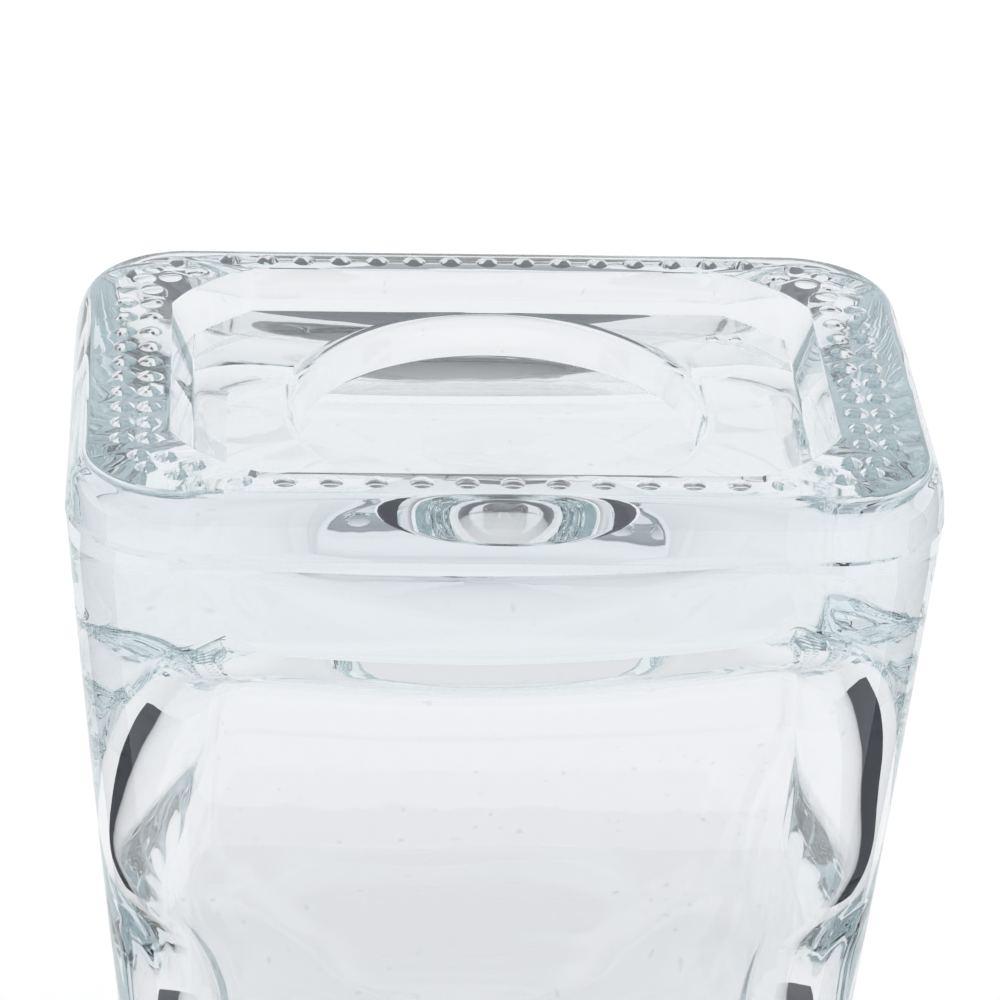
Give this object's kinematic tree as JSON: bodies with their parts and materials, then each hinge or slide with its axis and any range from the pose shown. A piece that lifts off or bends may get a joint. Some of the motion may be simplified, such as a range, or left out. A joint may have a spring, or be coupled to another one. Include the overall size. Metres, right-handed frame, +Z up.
{
  "type": "specimen jar",
  "caption": "Heavy rectangular clear glass jar with a stippled, recessed foot and a screw cap on a round neck, standing upside down on the cap.",
  "frame": {"origin": "on the floor under the neck's axis, at the middle of the cap's flat top, which the inverted jar stands on", "axes": "+Z up along the neck's axis from the cap to the jar's foot; X along the wide side, Y along the narrow side"},
  "size_m": [0.0872, 0.0608, 0.1142],
  "materials": {
    "glass": "clear, fire-polished",
    "cap_plastic": "satin moulded",
    "liner_foam": "closed-cell foam",
    "liner_film": "smooth film"
  },
  "bodies": {
    "closure": {"screw_cap": "cap_plastic"},
    "liner": {"liner_wad": "liner_foam", "liner_facing": "liner_film"},
    "jar": {"jar_body": "glass"}
  },
  "joints": [
    {"name": "jar_turn", "type": "hinge", "parent": "closure", "child": "liner", "pos_m": [0, 0, 0], "axis": [0, 0, 1], "range_deg": [0, 450]},
    {"name": "jar_lift", "type": "slide", "parent": "liner", "child": "jar", "axis": [0, 0, 1], "range_m": [0, 0.0053]}
  ],
  "couplings": [
    {"joint": "jar_lift", "follows": "jar_turn", "m_per_rad": 0.00067323}
  ]
}
